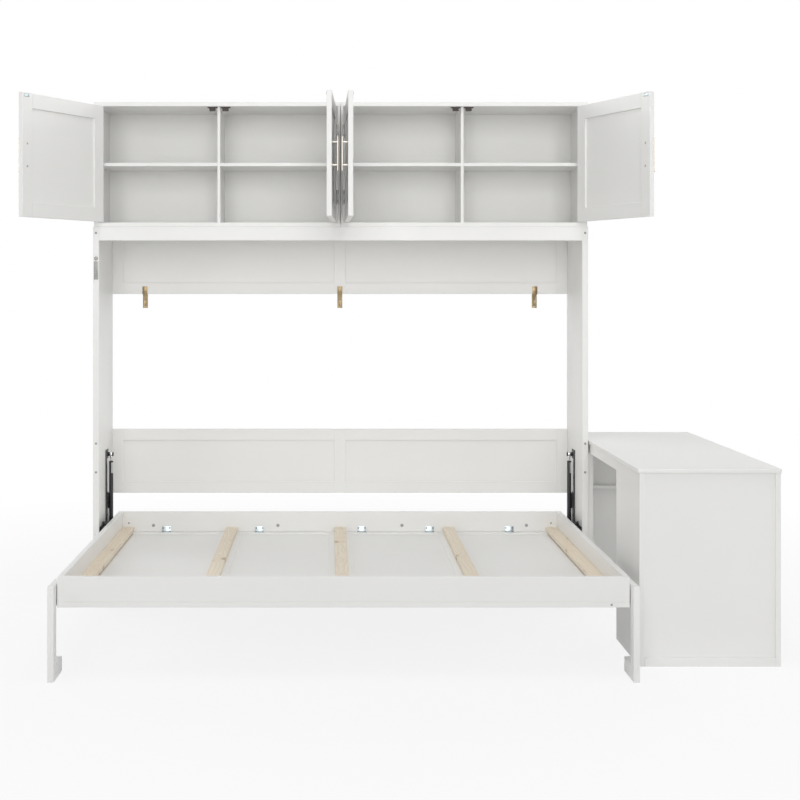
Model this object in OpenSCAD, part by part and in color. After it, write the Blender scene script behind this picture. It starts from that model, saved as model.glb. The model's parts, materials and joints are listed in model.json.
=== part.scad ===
// Horizontal wall bed with overhead cabinets and a side desk, bed lowered and doors open.
// X runs across the room, +Y towards the wall, +Z up. Millimetres.
// Inside each module X = 0 is the middle of the wall frame and Y = 0 its front edge;
// shifted() then moves everything so that the origin is under the middle of the whole.

/* [Mattress and deck] */
// Length of the mattress, across the room
mattress_len = 1905; // [1880:1:1930]
// Width of the mattress, away from the wall
mattress_wid = 1372; // [1350:1:1390]
// Thickness of the deck's rails
rail_t = 20; // [18:1:22]
// Height of the deck's rails above its face
rail_h = 87; // [75:1:95]
// Thickness of the framed face under the deck
face_t = 18; // [16:1:20]
// Height of the deck's underside above the floor, bed lowered
deck_z = 245; // [240:1:255]
// Width of a slat
slat_w = 50; // [40:1:55]
// Thickness of a slat
slat_t = 20; // [15:1:25]

/* [Wall frame] */
// Thickness of the side panels
side_t = 25; // [20:1:30]
// Depth of the side panels
side_dep = 383; // [375:1:400]
// Height of the side panels
side_h = 1600; // [1590:1:1620]
// Gap between the deck and a side panel, for the struts and legs
side_gap = 34; // [33:1:38]
// Height of the rail over the stowed bed
header_h = 58; // [40:1:60]
// Height of each framed back panel
back_h = 284; // [260:1:290]
// Height of the lower back panel's bottom edge
back_low_z = 429; // [400:1:450]

/* [Overhead cabinets] */
// Height of the cabinets
cab_h = 525; // [500:1:560]
// Depth of the cabinets
cab_dep = 290; // [280:1:320]
// Thickness of the tops, bottoms and outer sides
cab_t = 18; // [16:1:20]
// Height of the shelves above the cabinets' underside
shelf_up = 257; // [220:1:300]
// Thickness of a shelf
shelf_t = 14; // [12:1:18]

/* [Doors] */
// Thickness of a door
door_t = 20; // [18:1:22]
// Width of a door's stiles and rails
door_member = 58; // [45:1:70]
// Opening of the left outer door, degrees
open_left_outer = 119.8; // [100:0.1:125]
// Opening of the left centre door, degrees
open_left_centre = 87.6; // [80:0.1:88]
// Opening of the right centre door, degrees
open_right_centre = 89.2; // [80:0.1:89.5]
// Opening of the right outer door, degrees
open_right_outer = 113.9; // [100:0.1:118]
// Length of a door handle
handle_len = 136; // [120:1:150]
// Spacing of a handle's two posts
handle_hole = 89; // [64:1:128]

/* [Desk] */
// Width of the desk's top
desk_w = 510; // [450:1:600]
// Length of the desk's top
desk_len = 1313; // [1200:1:1330]
// Height of the desk's top surface
desk_h = 700; // [690:1:740]
// Thickness of the desk's top
desk_top_t = 15; // [15:1:25]
// Length of the cupboard under the front end of the desk
pedestal_len = 402; // [350:1:450]

/* [Hidden] */
$fn = 40;

// Eased edge of every board, and a gap that keeps moving faces apart
ease = 1.2;
gap = 0.5;

// Deck
deck_x = (mattress_len + 20) / 2 + rail_t;
deck_dep = mattress_wid + 36 + 2 * rail_t;
pivot_y = 94;
head_y = pivot_y + 251;
foot_y = head_y - deck_dep;
floor_z = deck_z + face_t;
deck_top = floor_z + rail_h;
pivot_z = deck_top - 14;
pivot_r = 6;
face_outer = 52;
face_inner = 100;
face_rail = 60;
stile_xs = [-480, 0, 480];
face_panel_t = 8;
slat_xs = [-deck_x + rail_t + slat_w / 2, -480, 0, 480, deck_x - rail_t - slat_w / 2];

// Wall frame
post_in = deck_x + side_gap;
post_out = post_in + side_t;
post_mid = post_in + side_t / 2;
back_t = 18;
back_y = side_dep - back_t;
back_member = 50;
back_high_z = side_h - back_h + 4;
bracket_xs = [-870, 0, 870];
bracket_w = 22;
bracket_t = 2;
bracket_hole_r = 2.75;
cap_r = 5;

// Legs
leg_t = 22;
leg_x = deck_x + 2.5;
leg_dep = 153;
leg_post = 48;
leg_front = foot_y - leg_post;
leg_arm = 75;
leg_foot = 51.5;
leg_top = deck_top - 25;
leg_pivot_y = foot_y + 63;
leg_pivot_z = leg_top - 35;
leg_pin_r = 5;

// Gas struts
strut_x = deck_x + side_gap / 2;
strut_y = 224;
strut_top = 618;
strut_foot = 320;
strut_r = 9;
rod_r = 4;
strut_pin_r = 5;
plate_t = 3;
run_fit = 0.05;

// Cabinets
cab_z = side_h;
cab_x = post_out - 3.5;
cab_in = cab_x - 22;
mid_t = 11;
mid_x = 1 + mid_t;
divider_t = 12;
divider_x = (cab_in + mid_x) / 2;
cab_back_t = 7;
cab_in_z = cab_z + cab_t;
cab_top_z = cab_z + cab_h - cab_t;
shelf_front = door_t + 2;

// Doors: the hinge line stands hinge_out before the door's face and hinge_off from the wall of the bay
hinge_off = 1.1;
hinge_out = 4.5;
door_w = (cab_in - mid_x - 2 * hinge_off - 3) / 2 - hinge_off;
door_z = cab_in_z + 2;
door_h = cab_top_z - cab_in_z - 4;
panel_t = 6;
groove = 8;
knuckle_r = 4;
pin_r = 1.5;
hinge_h = 60;
leaf_t = 0.7;
leaf_w = 17;
hinge_zs = [door_z + 75, door_z + door_h - 75 - hinge_h];
handle_r = 4.5;
handle_out = 22;
handle_in = 28;
handle_x = hinge_off + door_w - handle_in;
handle_z = door_z + door_h / 2;
left_hinge_x = -cab_in + hinge_off;
centre_hinge_x = mid_x + hinge_off;

// Desk
desk_x = post_out + 3.5;
desk_right = desk_x + desk_w;
desk_back = side_dep - 17;
desk_front = desk_back - desk_len;
desk_under = desk_h - desk_top_t;
desk_board = 19;
desk_side_x = desk_x + 5;
desk_user_x = desk_right - 3;
pedestal_y = desk_front + 4;
pedestal_end = pedestal_y + pedestal_len;
plinth_h = 30;
stile_y = 33;
stile_dep = 100;
apron_h = 40;

// The whole runs from the left outer door's handle to the desk's right edge
reach_left = left_hinge_x + handle_x * cos(open_left_outer)
    + (hinge_out - handle_out) * sin(open_left_outer) - handle_r;
origin_x = (desk_right + reach_left) / 2;
origin_y = (leg_front + side_dep) / 2;

module shifted() translate([-origin_x, -origin_y, 0]) children();
module painted() color("white") shifted() children();
module bare_wood() color("burlywood") shifted() children();
module black_steel() color([0.1, 0.1, 0.1]) shifted() children();
module zinc() color([0.7, 0.72, 0.75]) shifted() children();
module tan_zinc() color([0.8, 0.7, 0.5]) shifted() children();
module nickel() color([0.76, 0.7, 0.62]) shifted() children();
module dark_plastic() color([0.22, 0.17, 0.14]) shifted() children();
module both_sides() { children(); mirror([1, 0, 0]) children(); }

// Rectangle with its corners cut back by the eased edge
module eased_rect(w, h, e = ease) {
    polygon([[e, 0], [w - e, 0], [w, e], [w, h - e], [w - e, h], [e, h], [0, h - e], [0, e]]);
}

// Board between two corners, with the edges along its length eased
module board(lo, hi, e = ease) {
    s = hi - lo;
    translate(lo)
        if (s.x >= s.y && s.x >= s.z)
            rotate([90, 0, 90]) linear_extrude(s.x) eased_rect(s.y, s.z, e);
        else if (s.y >= s.z)
            translate([0, s.y, 0]) rotate([90, 0, 0]) linear_extrude(s.y) eased_rect(s.x, s.z, e);
        else
            linear_extrude(s.z) eased_rect(s.x, s.y, e);
}

// Plain block between two corners
module block(lo, hi) translate(lo) cube(hi - lo);

// Cylinder along X between two values of x
module rod_x(x0, x1, y, z, r) translate([x0, y, z]) rotate([0, 90, 0]) cylinder(r = r, h = x1 - x0);

// Cylinder along Y between two values of y
module rod_y(y0, y1, x, z, r) translate([x, y1, z]) rotate([90, 0, 0]) cylinder(r = r, h = y1 - y0);

// ---- Wall frame ----

seam_y = 258;
module side_panel(end) {
    difference() {
        board([post_in, 0, 0], [post_out, side_dep, side_h]);
        // Joint line between the panel's front and rear boards, inside and out
        for (x = [post_in, post_out])
            translate([x, seam_y, -1]) rotate([0, 0, 45]) cube([2, 2, side_h + 2]);
    }
}
module side_panel_left() painted() mirror([1, 0, 0]) side_panel();
module side_panel_right() painted() side_panel();

module header_rail() painted() board([-post_in, 0, side_h - header_h], [post_in, 18, side_h]);

// Framed back panel: two stiles, a middle stile and two rails, grooved for the panels
module back_frame(z) {
    difference() {
        union() {
            for (x = [-post_in, -back_member / 2, post_in - back_member])
                board([x, back_y, z], [x + back_member, side_dep, z + back_h]);
            for (x = [-post_in + back_member, back_member / 2], rail_z = [z, z + back_h - back_member])
                board([x, back_y, rail_z],
                      [x + post_in - 1.5 * back_member, side_dep, rail_z + back_member]);
        }
        back_panel_pair(z, groove + 1);
    }
}
module back_panel_pair(z, tuck) {
    for (x = [-post_in + back_member, back_member / 2])
        block([x - tuck, back_y + 7, z + back_member - tuck],
              [x + post_in - 1.5 * back_member + tuck, back_y + 13, z + back_h - back_member + tuck]);
}
module back_frame_upper() painted() back_frame(back_high_z - 4);
module back_panels_upper() painted() back_panel_pair(back_high_z - 4, groove);
module back_frame_lower() painted() back_frame(back_low_z);
module back_panels_lower() painted() back_panel_pair(back_low_z, groove);

// Bent strip: screwed to the panel's face, back under its edge, and down the wall
bracket_z = back_high_z - 4;
bracket_drop = 62;
module wall_brackets() tan_zinc() {
    for (x = bracket_xs) {
        lo = x - bracket_w / 2;
        hi = x + bracket_w / 2;
        difference() {
            union() {
                block([lo, back_y - bracket_t, bracket_z - bracket_t], [hi, back_y, bracket_z + 34]);
                block([lo, back_y - bracket_t, bracket_z - bracket_t], [hi, side_dep, bracket_z]);
                block([lo, side_dep - bracket_t, bracket_z - bracket_drop], [hi, side_dep, bracket_z]);
            }
            for (hole_z = [bracket_z - 24, bracket_z - 50])
                rod_y(side_dep - 5, side_dep + 1, x, hole_z, bracket_hole_r);
        }
        rod_y(back_y - bracket_t - 2.5, back_y - bracket_t, x, bracket_z + 17, 4.5);
    }
}

module frame_caps() color("gray") shifted() both_sides()
    for (z = [1574, 688, 567]) rod_y(-1, 0, post_mid, z, cap_r);

module latch_plate() zinc() {
    board([-post_mid - 9, -4, 1378], [-post_mid + 9, 0, 1455], 0.8);
    rod_y(-6, 0, -post_mid, 1467, 8);
    rod_y(-6, -4, -post_mid, 1390, 3.5);
    rod_y(-6, -4, -post_mid, 1443, 3.5);
}

// Flat plate on the inside of a side panel: low in front with a boss at the pivot, broad behind,
// and narrow above, with a head for the strut's top bolt
module mechanism_plate() {
    plate_x = post_in - plate_t;
    difference() {
        translate([plate_x, 0, 0]) rotate([90, 0, 90]) linear_extrude(plate_t)
            union() {
                polygon([[10, 300], [strut_y + 15, 300], [strut_y + 15, 452], [strut_y - 22, 452],
                         [strut_y - 22, strut_top - 18], [strut_y + 15, strut_top - 18],
                         [strut_y + 15, strut_top + 22], [strut_y - 52, strut_top + 22],
                         [strut_y - 52, 334], [10, 334]]);
                translate([pivot_y, pivot_z]) circle(11);
            }
        rod_x(plate_x - 1, post_in + 1, pivot_y, pivot_z, pivot_r + run_fit);
        rod_x(plate_x - 1, post_in + 1, strut_y, strut_top, strut_pin_r + run_fit);
    }
    // Folded edge that stiffens the broad part
    block([plate_x - 7, strut_y + 13, 380], [plate_x, strut_y + 15, 448]);
}
module mechanism_plates() black_steel() both_sides() mechanism_plate();

// Pivot studs with their collars, and the struts' top bolts
module mechanism_bolts() black_steel() both_sides() {
    rod_x(deck_x - 8, post_in, pivot_y, pivot_z, pivot_r);
    rod_x(deck_x + plate_t + 1, post_in - plate_t, pivot_y, pivot_z, 9);
    rod_x(strut_x - 7, post_in, strut_y, strut_top, strut_pin_r);
    rod_x(strut_x - 10, strut_x - 6, strut_y, strut_top, 9);
    rod_x(strut_x + 6, post_in - plate_t, strut_y, strut_top, 9);
}

// ---- Overhead cabinets ----

module cabinet_tops() painted() both_sides()
    board([0.5, 0, cab_top_z], [cab_x, cab_dep, cab_z + cab_h]);
module cabinet_bottoms() painted() both_sides()
    board([0.5, 0, cab_z], [cab_x, cab_dep, cab_in_z]);
module cabinet_sides() painted() both_sides()
    board([cab_in, 0, cab_in_z], [cab_x, cab_dep, cab_top_z]);
module cabinet_centre_panels() painted() both_sides()
    board([1, 0, cab_in_z], [mid_x, cab_dep, cab_top_z], 0.6);
module cabinet_dividers() painted() both_sides()
    board([divider_x - divider_t / 2, shelf_front, cab_in_z],
          [divider_x + divider_t / 2, cab_dep - cab_back_t, cab_top_z], 0.6);
module cabinet_shelves() painted() both_sides()
    for (span = [[mid_x, divider_x - divider_t / 2], [divider_x + divider_t / 2, cab_in]])
        board([span[0], shelf_front, cab_z + shelf_up],
              [span[1], cab_dep - cab_back_t, cab_z + shelf_up + shelf_t], 0.8);
module cabinet_backs() painted() both_sides()
    block([mid_x, cab_dep - cab_back_t, cab_in_z], [cab_in, cab_dep, cab_top_z]);

// Magnetic catches under the tops, one for each door
catch_w = 41;
catch_h = 15;
module door_catches() dark_plastic() both_sides()
    for (x = [divider_x - divider_t / 2 - catch_w - 1, divider_x + divider_t / 2 + 1]) {
        board([x, shelf_front + 1, cab_top_z - catch_h], [x + catch_w, shelf_front + 16, cab_top_z]);
        for (y = [shelf_front + 4, shelf_front + 10])
            block([x + 8, y, cab_top_z - catch_h - 1.5], [x + catch_w - 8, y + 3, cab_top_z - catch_h]);
    }

// Fixed half of a hinge about the line x = y = 0: end knuckles, pin, and a leaf on the bay's wall
module fixed_hinge() {
    knuckle = 18;
    for (z = [0, hinge_h - knuckle]) {
        translate([0, 0, z]) cylinder(r = knuckle_r, h = knuckle);
        block([-hinge_off, 0, z], [-hinge_off + leaf_t, hinge_out + leaf_w, z + knuckle]);
    }
    block([-hinge_off, knuckle_r + 0.3, 0], [-hinge_off + leaf_t, hinge_out + leaf_w, hinge_h]);
    cylinder(r = pin_r, h = hinge_h);
}

// Moving half: the middle knuckle and a leaf on the door's edge
module moving_hinge() {
    lo = 18.3;
    hi = hinge_h - 18.3;
    difference() {
        union() {
            translate([0, 0, lo]) cylinder(r = knuckle_r, h = hi - lo);
            block([hinge_off - leaf_t, 0, lo], [hinge_off, hinge_out + leaf_w, hi]);
            block([hinge_off - leaf_t, knuckle_r + 0.3, 0], [hinge_off, hinge_out + leaf_w, hinge_h]);
        }
        translate([0, 0, -1]) cylinder(r = pin_r + run_fit, h = hinge_h + 2);
    }
}
module hinge_leaves() zinc() both_sides() for (z = hinge_zs) {
    translate([left_hinge_x, -hinge_out, z]) fixed_hinge();
    translate([centre_hinge_x, -hinge_out, z]) fixed_hinge();
}

// ---- Doors, drawn closed about the hinge line and then swung open ----

module swing(x, open, flip) {
    translate([x, -hinge_out, 0]) rotate([0, 0, flip ? open : -open]) mirror([flip ? 1 : 0, 0, 0])
        children();
}
module left_outer() swing(left_hinge_x, open_left_outer, false) children();
module left_centre() swing(-centre_hinge_x, open_left_centre, true) children();
module right_centre() swing(centre_hinge_x, open_right_centre, false) children();
module right_outer() swing(-left_hinge_x, open_right_outer, true) children();

module door_frame() {
    right = hinge_off + door_w;
    top = door_z + door_h;
    difference() {
        union() {
            for (x = [hinge_off, right - door_member])
                board([x, hinge_out, door_z], [x + door_member, hinge_out + door_t, top]);
            for (z = [door_z, top - door_member])
                board([hinge_off + door_member, hinge_out, z],
                      [right - door_member, hinge_out + door_t, z + door_member]);
        }
        door_panel(groove + 1);
    }
    for (z = hinge_zs) translate([0, 0, z]) moving_hinge();
}
module door_panel(tuck = groove) {
    block([hinge_off + door_member - tuck, hinge_out + 7, door_z + door_member - tuck],
          [hinge_off + door_w - door_member + tuck, hinge_out + 7 + panel_t,
           door_z + door_h - door_member + tuck]);
}

// Bar handle on two posts, its screws on the inner face, and the strike plate for the catch
module door_handle() {
    bar_y = hinge_out - handle_out;
    translate([handle_x, bar_y, handle_z - handle_len / 2]) cylinder(r = handle_r, h = handle_len);
    for (z = [handle_z - handle_hole / 2, handle_z + handle_hole / 2]) {
        rod_y(bar_y, hinge_out, handle_x, z, 3.6);
        rod_y(hinge_out + door_t, hinge_out + door_t + 1.6, handle_x, z, 4);
    }
    block([handle_x - 12, hinge_out + door_t, door_z + door_h - 16],
          [handle_x + 20, hinge_out + door_t + 1, door_z + door_h - 4]);
}

module door_left_outer_frame() painted() left_outer() door_frame();
module door_left_outer_panel() painted() left_outer() door_panel();
module door_left_outer_handle() nickel() left_outer() door_handle();
module door_left_centre_frame() painted() left_centre() door_frame();
module door_left_centre_panel() painted() left_centre() door_panel();
module door_left_centre_handle() nickel() left_centre() door_handle();
module door_right_centre_frame() painted() right_centre() door_frame();
module door_right_centre_panel() painted() right_centre() door_panel();
module door_right_centre_handle() nickel() right_centre() door_handle();
module door_right_outer_frame() painted() right_outer() door_frame();
module door_right_outer_panel() painted() right_outer() door_panel();
module door_right_outer_handle() nickel() right_outer() door_handle();

// ---- Desk ----

module desk_top() painted() board([desk_x, desk_front, desk_under], [desk_right, desk_back, desk_h], 1.5);
module desk_end_panel() painted()
    block([desk_side_x + desk_board, pedestal_y + 8, plinth_h],
          [desk_user_x - desk_board, pedestal_y + 20, desk_under]);
module desk_plinth() painted()
    board([desk_side_x + desk_board, pedestal_y, 0], [desk_user_x - desk_board, pedestal_y + 20, plinth_h]);
module desk_side_panel() painted()
    board([desk_side_x, pedestal_y, 0], [desk_side_x + desk_board, pedestal_end, desk_under]);
module desk_user_stiles() painted()
    for (y = [pedestal_y, pedestal_end - 47])
        board([desk_user_x - desk_board, y, 0], [desk_user_x, y + 47, desk_under]);
module desk_inner_panel() painted()
    board([desk_side_x + desk_board, pedestal_end - desk_board, 0],
          [desk_user_x - desk_board, pedestal_end, desk_under]);
shelf_zs = [plinth_h, 350];
module desk_shelves() painted()
    for (z = shelf_zs)
        board([desk_side_x + desk_board, pedestal_y + 20, z],
              [desk_user_x - desk_board, pedestal_end - desk_board, z + 15]);
module desk_apron() painted()
    board([desk_side_x, pedestal_end, desk_under - apron_h], [desk_side_x + desk_board, stile_y, desk_under]);
module desk_rear_stile() painted()
    board([post_out, stile_y, 0], [desk_side_x + desk_board, stile_y + stile_dep, desk_under]);
module desk_far_panel() painted()
    board([desk_side_x, desk_back - 15, 0], [desk_user_x, desk_back, desk_under]);
module desk_ledge() painted()
    board([desk_side_x, desk_back - 75, 457], [desk_user_x, desk_back - 15, 471]);

// ---- Deck ----

module deck_side_rails() painted() both_sides() difference() {
    board([deck_x - rail_t, foot_y, floor_z], [deck_x, head_y, deck_top]);
    rod_x(deck_x - 9, deck_x + 1, pivot_y, pivot_z, pivot_r + run_fit);
    rod_x(deck_x - rail_t - 1, deck_x + 1, leg_pivot_y, leg_pivot_z, leg_pin_r);
}
module deck_end_rails() painted()
    for (y = [foot_y, head_y - rail_t])
        board([-deck_x + rail_t, y, floor_z], [deck_x - rail_t, y + rail_t, deck_top]);

// The face's bays lie between its stiles
face_lefts = concat([-deck_x + face_outer], [for (x = stile_xs) x + face_inner / 2]);
face_rights = concat([for (x = stile_xs) x - face_inner / 2], [deck_x - face_outer]);
module deck_face_frame() painted() difference() {
    union() {
        for (x = [-deck_x, deck_x - face_outer])
            board([x, foot_y, deck_z], [x + face_outer, head_y, floor_z]);
        for (x = stile_xs)
            board([x - face_inner / 2, foot_y + face_rail, deck_z],
                  [x + face_inner / 2, head_y - face_rail, floor_z]);
        for (y = [foot_y, head_y - face_rail])
            board([-deck_x + face_outer, y, deck_z], [deck_x - face_outer, y + face_rail, floor_z]);
    }
    face_panels(groove + 1);
}
module face_panels(tuck) {
    for (i = [0:3])
        block([face_lefts[i] - tuck, foot_y + face_rail - tuck, deck_z + 5],
              [face_rights[i] + tuck, head_y - face_rail + tuck, deck_z + 5 + face_panel_t]);
}
module deck_face_panels() painted() face_panels(groove);
module deck_slats() bare_wood() for (x = slat_xs)
    board([x - slat_w / 2, foot_y + rail_t, floor_z], [x + slat_w / 2, head_y - rail_t, floor_z + slat_t], 2);

// Corner brackets between the end rails and the deck's face
corner_xs = [-769, -357, 96, 397, 750];
corner_w = 40;
corner_leg = 24;
module deck_brackets() zinc() for (x = corner_xs) {
    for (side = [[head_y - rail_t, -1], [foot_y + rail_t, 1]])
        translate([x - corner_w / 2, side[0], floor_z]) mirror([0, side[1] > 0 ? 0 : 1, 0]) {
            block([0, 0, 0], [corner_w, 2, corner_leg]);
            block([0, 0, 0], [corner_w, corner_leg, 2]);
            for (screw_x = [10, 30]) {
                rod_y(2, 3.2, screw_x, 14, 3);
                translate([screw_x, 15, 2]) cylinder(r = 3, h = 1.2);
            }
        }
}
module deck_caps() color("gray") shifted() {
    for (x = [-827, -275, 275, 827])
        rod_y(head_y - rail_t - 1.5, head_y - rail_t, x, 290, 7);
    both_sides() rod_y(head_y - rail_t - 1.5, head_y - rail_t, 936, 300, 4);
    rod_y(foot_y - 1, foot_y, 920, deck_z + face_t / 2, 4);
}

// Steel arms on the side rails, bored for the pivot, with the struts' lower bolts
module deck_arms() black_steel() both_sides() {
    difference() {
        translate([deck_x, 0, 0]) rotate([90, 0, 90]) linear_extrude(plate_t)
            polygon([[20, pivot_z - 40], [330, pivot_z - 40], [330, deck_top - 4], [20, deck_top - 4]]);
        rod_x(deck_x - 1, deck_x + plate_t + 1, pivot_y, pivot_z, pivot_r + run_fit);
    }
    rod_x(deck_x + plate_t, strut_x - strut_r - 1, strut_y, strut_foot, 8);
}
module leg_bolts() zinc() both_sides() {
    rod_x(deck_x - rail_t - 6, leg_x + leg_t + 3, leg_pivot_y, leg_pivot_z, leg_pin_r);
    rod_x(deck_x - rail_t - 6, deck_x - rail_t, leg_pivot_y, leg_pivot_z, 6.5);
    rod_x(deck_x, leg_x - 0.3, leg_pivot_y, leg_pivot_z, 10);
    rod_x(leg_x + leg_t + gap, leg_x + leg_t + 3.5, leg_pivot_y, leg_pivot_z, 10);
}

// ---- Legs: an upright with an arm and a foot turned back towards the wall ----

module leg() difference() {
    translate([leg_x, leg_front, 0]) rotate([90, 0, 90]) linear_extrude(leg_t)
        polygon([[0, 0], [leg_dep, 0], [leg_dep, leg_foot], [leg_post, leg_foot],
                 [leg_post, leg_top - leg_arm], [leg_dep, leg_top - leg_arm],
                 [leg_dep, leg_top - 12], [leg_dep - 12, leg_top], [0, leg_top]]);
    rod_x(leg_x - 1, leg_x + leg_t + 1, leg_pivot_y, leg_pivot_z, leg_pin_r + run_fit);
}
module leg_left() painted() mirror([1, 0, 0]) leg();
module leg_right() painted() leg();

// ---- Gas struts, pushed in while the bed is down ----

cylinder_top = strut_top - 30;
rod_end = strut_foot + 68;
module strut_rod() {
    difference() {
        rod_x(strut_x - 5, strut_x + 5, strut_y, strut_top, 10);
        rod_x(strut_x - 6, strut_x + 6, strut_y, strut_top, strut_pin_r + run_fit);
    }
    translate([strut_x, strut_y, rod_end]) cylinder(r = rod_r, h = strut_top - 9 - rod_end);
}
module strut_cylinder() {
    difference() {
        union() {
            translate([strut_x, strut_y, strut_foot + 6])
                cylinder(r = strut_r, h = cylinder_top - strut_foot - 6);
            rod_x(strut_x - strut_r + 0.5, strut_x + strut_r, strut_y, strut_foot, 10);
        }
        translate([strut_x, strut_y, rod_end - 20])
            cylinder(r = rod_r + run_fit, h = cylinder_top - rod_end + 21);
    }
}
module strut_rod_left() zinc() mirror([1, 0, 0]) strut_rod();
module strut_rod_right() zinc() strut_rod();
module strut_cylinder_left() black_steel() mirror([1, 0, 0]) strut_cylinder();
module strut_cylinder_right() black_steel() strut_cylinder();

side_panel_left();
side_panel_right();
header_rail();
back_frame_upper();
back_panels_upper();
back_frame_lower();
back_panels_lower();
wall_brackets();
frame_caps();
latch_plate();
mechanism_plates();
mechanism_bolts();
cabinet_tops();
cabinet_bottoms();
cabinet_sides();
cabinet_centre_panels();
cabinet_dividers();
cabinet_shelves();
cabinet_backs();
door_catches();
hinge_leaves();
desk_top();
desk_end_panel();
desk_side_panel();
desk_user_stiles();
desk_inner_panel();
desk_shelves();
desk_apron();
desk_rear_stile();
desk_far_panel();
desk_ledge();
desk_plinth();
deck_side_rails();
deck_end_rails();
deck_face_frame();
deck_face_panels();
deck_slats();
deck_brackets();
deck_caps();
deck_arms();
leg_bolts();
leg_left();
leg_right();
strut_rod_left();
strut_rod_right();
strut_cylinder_left();
strut_cylinder_right();
door_left_outer_frame();
door_left_outer_panel();
door_left_outer_handle();
door_left_centre_frame();
door_left_centre_panel();
door_left_centre_handle();
door_right_centre_frame();
door_right_centre_panel();
door_right_centre_handle();
door_right_outer_frame();
door_right_outer_panel();
door_right_outer_handle();
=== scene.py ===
"""Looks of a sideways wall bed with overhead cabinets and a side desk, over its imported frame."""

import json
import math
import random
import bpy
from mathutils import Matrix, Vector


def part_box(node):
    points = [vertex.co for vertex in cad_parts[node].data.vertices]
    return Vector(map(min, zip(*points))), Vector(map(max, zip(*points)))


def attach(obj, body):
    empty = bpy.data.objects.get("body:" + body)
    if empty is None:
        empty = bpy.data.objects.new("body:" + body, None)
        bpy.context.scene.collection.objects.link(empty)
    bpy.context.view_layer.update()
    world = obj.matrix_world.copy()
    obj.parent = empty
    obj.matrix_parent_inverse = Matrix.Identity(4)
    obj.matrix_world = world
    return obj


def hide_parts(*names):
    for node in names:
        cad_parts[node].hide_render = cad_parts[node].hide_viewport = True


bl_info = {
    "name": "Wall Bed Looks",
    "version": (1, 0, 0),
    "blender": (4, 5, 0),
    "location": "View3D > Sidebar > Wall Bed",
    "description": "Finishes the boards, slats and fittings of a wall bed",
    "category": "Object",
}

import bmesh
import bpy
from bpy.props import (
    FloatProperty,
    FloatVectorProperty,
    IntProperty,
    PointerProperty,
)
from mathutils import Matrix, Vector

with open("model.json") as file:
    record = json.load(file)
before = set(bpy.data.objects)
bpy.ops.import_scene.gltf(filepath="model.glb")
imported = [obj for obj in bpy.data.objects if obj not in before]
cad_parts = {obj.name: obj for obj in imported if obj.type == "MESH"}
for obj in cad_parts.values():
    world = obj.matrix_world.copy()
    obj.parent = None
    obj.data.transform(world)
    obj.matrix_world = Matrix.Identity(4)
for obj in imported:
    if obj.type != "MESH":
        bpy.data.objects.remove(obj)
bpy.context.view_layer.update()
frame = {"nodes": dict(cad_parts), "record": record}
NODES = frame["nodes"]

MM = 0.001
DOORS = ("left_outer", "left_centre", "right_centre", "right_outer")
SLOT_OF = {row["node"]: row["material_slot"] for row in frame["record"]["subparts"]}
# Middle of the wall frame, and the front edge of its side panels
MID_X = (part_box("side_panel_left")[0].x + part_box("side_panel_right")[1].x) / 2
FRONT_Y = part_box("side_panel_left")[0].y

# Points closer than WELD are one, points within NEAR of a solid's end belong to that end, and
# faces that differ by less than FLAT are one flat face
WELD = 1e-6
NEAR = 1e-4
FLAT = math.radians(1)
# Edges flatter than this are shaded smooth
SMOOTH = math.radians(38)
# A face looks along an axis when its normal has more than this share along it
FACING = 0.9
# Sides of a small round piece
FEW_SIDES = 32
# Width and height of the picture, in pixels
PICTURE = 800


# ---- Properties -------------------------------------------------------------------------------


class PaintProperties(bpy.types.PropertyGroup):
    """Painted boards"""

    colour: FloatVectorProperty(
        name="Paint", description="Satin white paint of every board",
        subtype="COLOR", size=3, min=0, max=1, default=(0.86, 0.856, 0.84))
    roughness: FloatProperty(
        name="Roughness", description="How dull the paint is", min=0, max=1, default=0.42)
    peel: FloatProperty(
        name="Peel", description="Width of the roller texture in the paint",
        subtype="DISTANCE", unit="LENGTH", min=0.0005, default=0.0022)
    edge: FloatProperty(
        name="Soft edge", description="Radius that the paint gives to an edge",
        subtype="DISTANCE", unit="LENGTH", min=0.0002, default=0.0016)


class WoodProperties(bpy.types.PropertyGroup):
    """Bare slats"""

    light: FloatVectorProperty(
        name="Early wood", description="Pale wood between the rings",
        subtype="COLOR", size=3, min=0, max=1, default=(0.86, 0.79, 0.67))
    dark: FloatVectorProperty(
        name="Late wood", description="Darker lines of the rings",
        subtype="COLOR", size=3, min=0, max=1, default=(0.75, 0.62, 0.46))
    knot: FloatVectorProperty(
        name="Knot", description="Colour in the middle of a knot",
        subtype="COLOR", size=3, min=0, max=1, default=(0.36, 0.22, 0.12))
    ring: FloatProperty(
        name="Ring spacing", description="Distance between two rings across a slat",
        subtype="DISTANCE", unit="LENGTH", min=0.004, default=0.018)
    edge: FloatProperty(
        name="Eased edge", description="Radius of a slat's edges",
        subtype="DISTANCE", unit="LENGTH", min=0.0005, default=0.0025)
    seed: IntProperty(name="Seed", description="Changes the slats' slight unevenness", default=7)


class MetalProperties(bpy.types.PropertyGroup):
    """Fittings"""

    nickel: FloatVectorProperty(
        name="Handles", description="Warm brushed nickel",
        subtype="COLOR", size=3, min=0, max=1, default=(0.56, 0.53, 0.48))
    zinc: FloatVectorProperty(
        name="Zinc", description="Bright zinc of brackets and bolts",
        subtype="COLOR", size=3, min=0, max=1, default=(0.43, 0.48, 0.50))
    tan_zinc: FloatVectorProperty(
        name="Yellow zinc", description="Wall brackets",
        subtype="COLOR", size=3, min=0, max=1, default=(0.30, 0.23, 0.13))
    black: FloatVectorProperty(
        name="Black steel", description="Powder-coated plates and struts",
        subtype="COLOR", size=3, min=0, max=1, default=(0.018, 0.018, 0.02))
    edge: FloatProperty(
        name="Broken edge", description="Radius on sheet-metal edges",
        subtype="DISTANCE", unit="LENGTH", min=0.0001, default=0.0005)


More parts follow.
